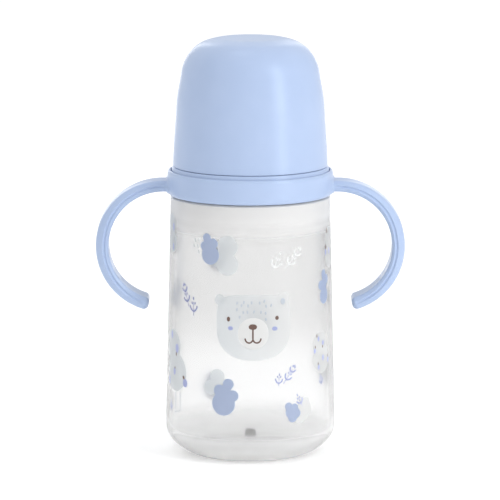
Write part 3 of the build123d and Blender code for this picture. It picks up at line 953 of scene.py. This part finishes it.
# the same motifs carry on round the sides and the back
blueInk += cloud(-86.5, 72.5, ((-1.5, 4.4, 1.7), (1.3, 2.3, 1.9), (-2.5, 1.0, 1.9), (0.0, -2.2, 3.8)), 2)
blueInk += cloud(-87.0, 19.5, ((1.5, 4.4, 1.7), (-1.7, 2.3, 1.95), (2.6, 0.9, 1.7), (-0.2, -1.6, 3.1)), 2)
blueInk += cloud(98.0, 44.0, wideCloud, 2)
paleInk += cloud(94.0, 49.0, shadowCloud)
blueInk += cloud(61.0, 30.5, wideCloud, 2)
blueInk += cloud(-60.0, 60.0, tallCloud, 2)
whiteInk += cloud(66.0, 31.0, whiteCloud)
violetInk += sprig((56.0, 58.0), (53.5, 65.5), 2.3, 2, 0.6) + sprig((-54.0, 80.0), (-58.0, 88.0), 2.3, 2, 0.6)
violetInk += sprig((-60.0, 28.0), (-58.0, 35.5), 2.3, 2, 0.6) + sprig((56.0, 82.0), (58.5, 89.0), 2.3, 2, 0.6)

pieces = (
    # the pale print fades from a greyer shade on the left to a whiter one on the right: painted shade, the
    # key lamp stands on the right
    ("print_pale", paleInk,
     makeInk("ink_pale_blue", (234, 240, 244), (248, 249, 249), acrossX=17, cover=0.6, glow=0.4)),
    ("print_white", whiteInk, makeInk("ink_white", (246, 249, 249), (250, 251, 250), cover=0.5, glow=0.4)),
    ("print_bright", brightInk, makeInk("ink_bright_white", (244, 246, 247), (248, 249, 250), cover=0.75)),
    ("print_cream", creamInk, makeInk("ink_cream", (247, 247, 246), (250, 250, 249), cover=0.75, glow=0.2)),
    ("print_blue", blueInk, makeInk("ink_blue", (173, 187, 217), (179, 193, 221), glow=0.25)),
    ("print_violet", violetInk, makeInk("ink_violet", (150, 158, 200), (160, 168, 207))),
    ("print_deep", deepInk, makeInk("ink_deep_violet", (118, 124, 176), (134, 140, 188))),
    ("print_grey", greyInk, makeInk("ink_grey", (172, 180, 190), (182, 189, 198))),
    ("print_brown", brownInk, makeInk("ink_brown", (98, 74, 66), (110, 85, 76))),
)
for name, surfaces, material in pieces:
    makePiece(name, surfaces, material, "bottle")
print("print ready")


studio = {
    "skyLow": 0.38,           # brightness of the sky in front, near the horizon
    "skyHigh": 1.0,           # brightness above
    "skyTo": (-0.2, 0.22, 0.955),  # the way to its brightest part
    "skySpan": (-0.5, 0.9),   # dot products where it starts and ends to brighten
    "floor": (0.92, 0.92, 0.92),
    "floorGlow": 0.2,         # the floor is a softly lit table
    "floorSize": 8.0,
    # each lamp: degrees to the right of the front, height, distance, its panel's width and height, watts
    "lamps": {
        "keySoftbox": (48, 0.32, 0.95, 0.23, 1.2, 5.5),
        "overheadSoftbox": (-120, 1.25, 0.15, 0.3, 0.3, 0.6),
        "rearLeftStrip": (-165, 0.25, 0.9, 0.12, 0.9, 0.6),
        "rearRightStrip": (168, 0.25, 0.9, 0.12, 0.9, 0.4),
    },
}
camera = {
    "tilt": 9.27,             # degrees down
    "distance": 1.814,
    "lookShare": 0.488,       # of the height, where it points
    "fieldWidth": 0.1946,     # metres across the view at that distance
    "sensor": 36.0,
    "aside": -0.00014,
}


def aim(thing, target):
    # turns a lamp or camera so that its -Z axis points along target - place, with Y up
    way = Vector(target) - thing.location
    thing.rotation_euler = way.to_track_quat("-Z", "Y").to_euler()


def makeFloor():
    # one flat square about the origin, at height 0
    half = studio["floorSize"] / 2
    mesh = bpy.data.meshes.new("studio_floor")
    corners = [(-half, -half, 0), (half, -half, 0), (half, half, 0), (-half, half, 0)]
    mesh.from_pydata(corners, [], [(0, 1, 2, 3)])
    floor = bpy.data.objects.new("studio_floor", mesh)
    bpy.context.scene.collection.objects.link(floor)
    material, tree, shader = newMaterial("paper_white")
    setSockets(shader, {"Base Color": (*studio["floor"], 1), "Roughness": 0.8, "Specular IOR Level": 0.1,
                        "Emission Color": (1, 1, 1, 1), "Emission Strength": studio["floorGlow"]})
    mesh.materials.append(material)


def makeLights():
    # sky brightness goes from low to high with the dot product of a direction and the brightest one; each
    # lamp stands at (d sin a, -d cos a, height) and points at the bottle
    world = bpy.data.worlds.new("studio")
    bpy.context.scene.world = world
    world.use_nodes = True
    tree = world.node_tree
    way = tree.nodes.new("ShaderNodeTexCoord")
    rise = tree.nodes.new("ShaderNodeVectorMath")
    rise.operation = "DOT_PRODUCT"
    rise.inputs[1].default_value = studio["skyTo"]
    level = tree.nodes.new("ShaderNodeMapRange")
    level.interpolation_type = "SMOOTHSTEP"
    setSockets(level, {"From Min": studio["skySpan"][0], "From Max": studio["skySpan"][1],
                       "To Min": studio["skyLow"], "To Max": studio["skyHigh"]})
    background = tree.nodes["Background"]
    background.inputs["Color"].default_value = (1, 1, 1, 1)
    tree.links.new(way.outputs["Generated"], rise.inputs[0])
    tree.links.new(rise.outputs["Value"], level.inputs["Value"])
    tree.links.new(level.outputs["Result"], background.inputs["Strength"])
    target = (0, 0, capHigh[2] * mm * 0.55)
    for name, (azimuth, height, distance, width, tall, power) in studio["lamps"].items():
        lamp = bpy.data.lights.new(name, "AREA")
        lamp.shape = "RECTANGLE"
        lamp.size, lamp.size_y = width, tall
        lamp.energy = power
        thing = bpy.data.objects.new(name, lamp)
        turn = math.radians(azimuth)
        thing.location = (distance * math.sin(turn), -distance * math.cos(turn), height)
        bpy.context.scene.collection.objects.link(thing)
        aim(thing, target)


def makeCamera():
    # a long lens, focal length = sensor * distance / field width, at tilt degrees above the point it looks at
    data = bpy.data.cameras.new("camera")
    data.sensor_width = camera["sensor"]
    data.lens = camera["sensor"] * camera["distance"] / camera["fieldWidth"]
    thing = bpy.data.objects.new("camera", data)
    tilt = math.radians(camera["tilt"])
    look = (camera["aside"], 0, camera["lookShare"] * capHigh[2] * mm)
    away = camera["distance"]
    thing.location = (look[0], -away * math.cos(tilt), look[2] + away * math.sin(tilt))
    bpy.context.scene.collection.objects.link(thing)
    aim(thing, look)
    data.clip_end = 50
    bpy.context.scene.camera = thing


makeFloor()
makeLights()
makeCamera()
bpy.context.scene.view_settings.view_transform = "Standard"
print("studio ready")
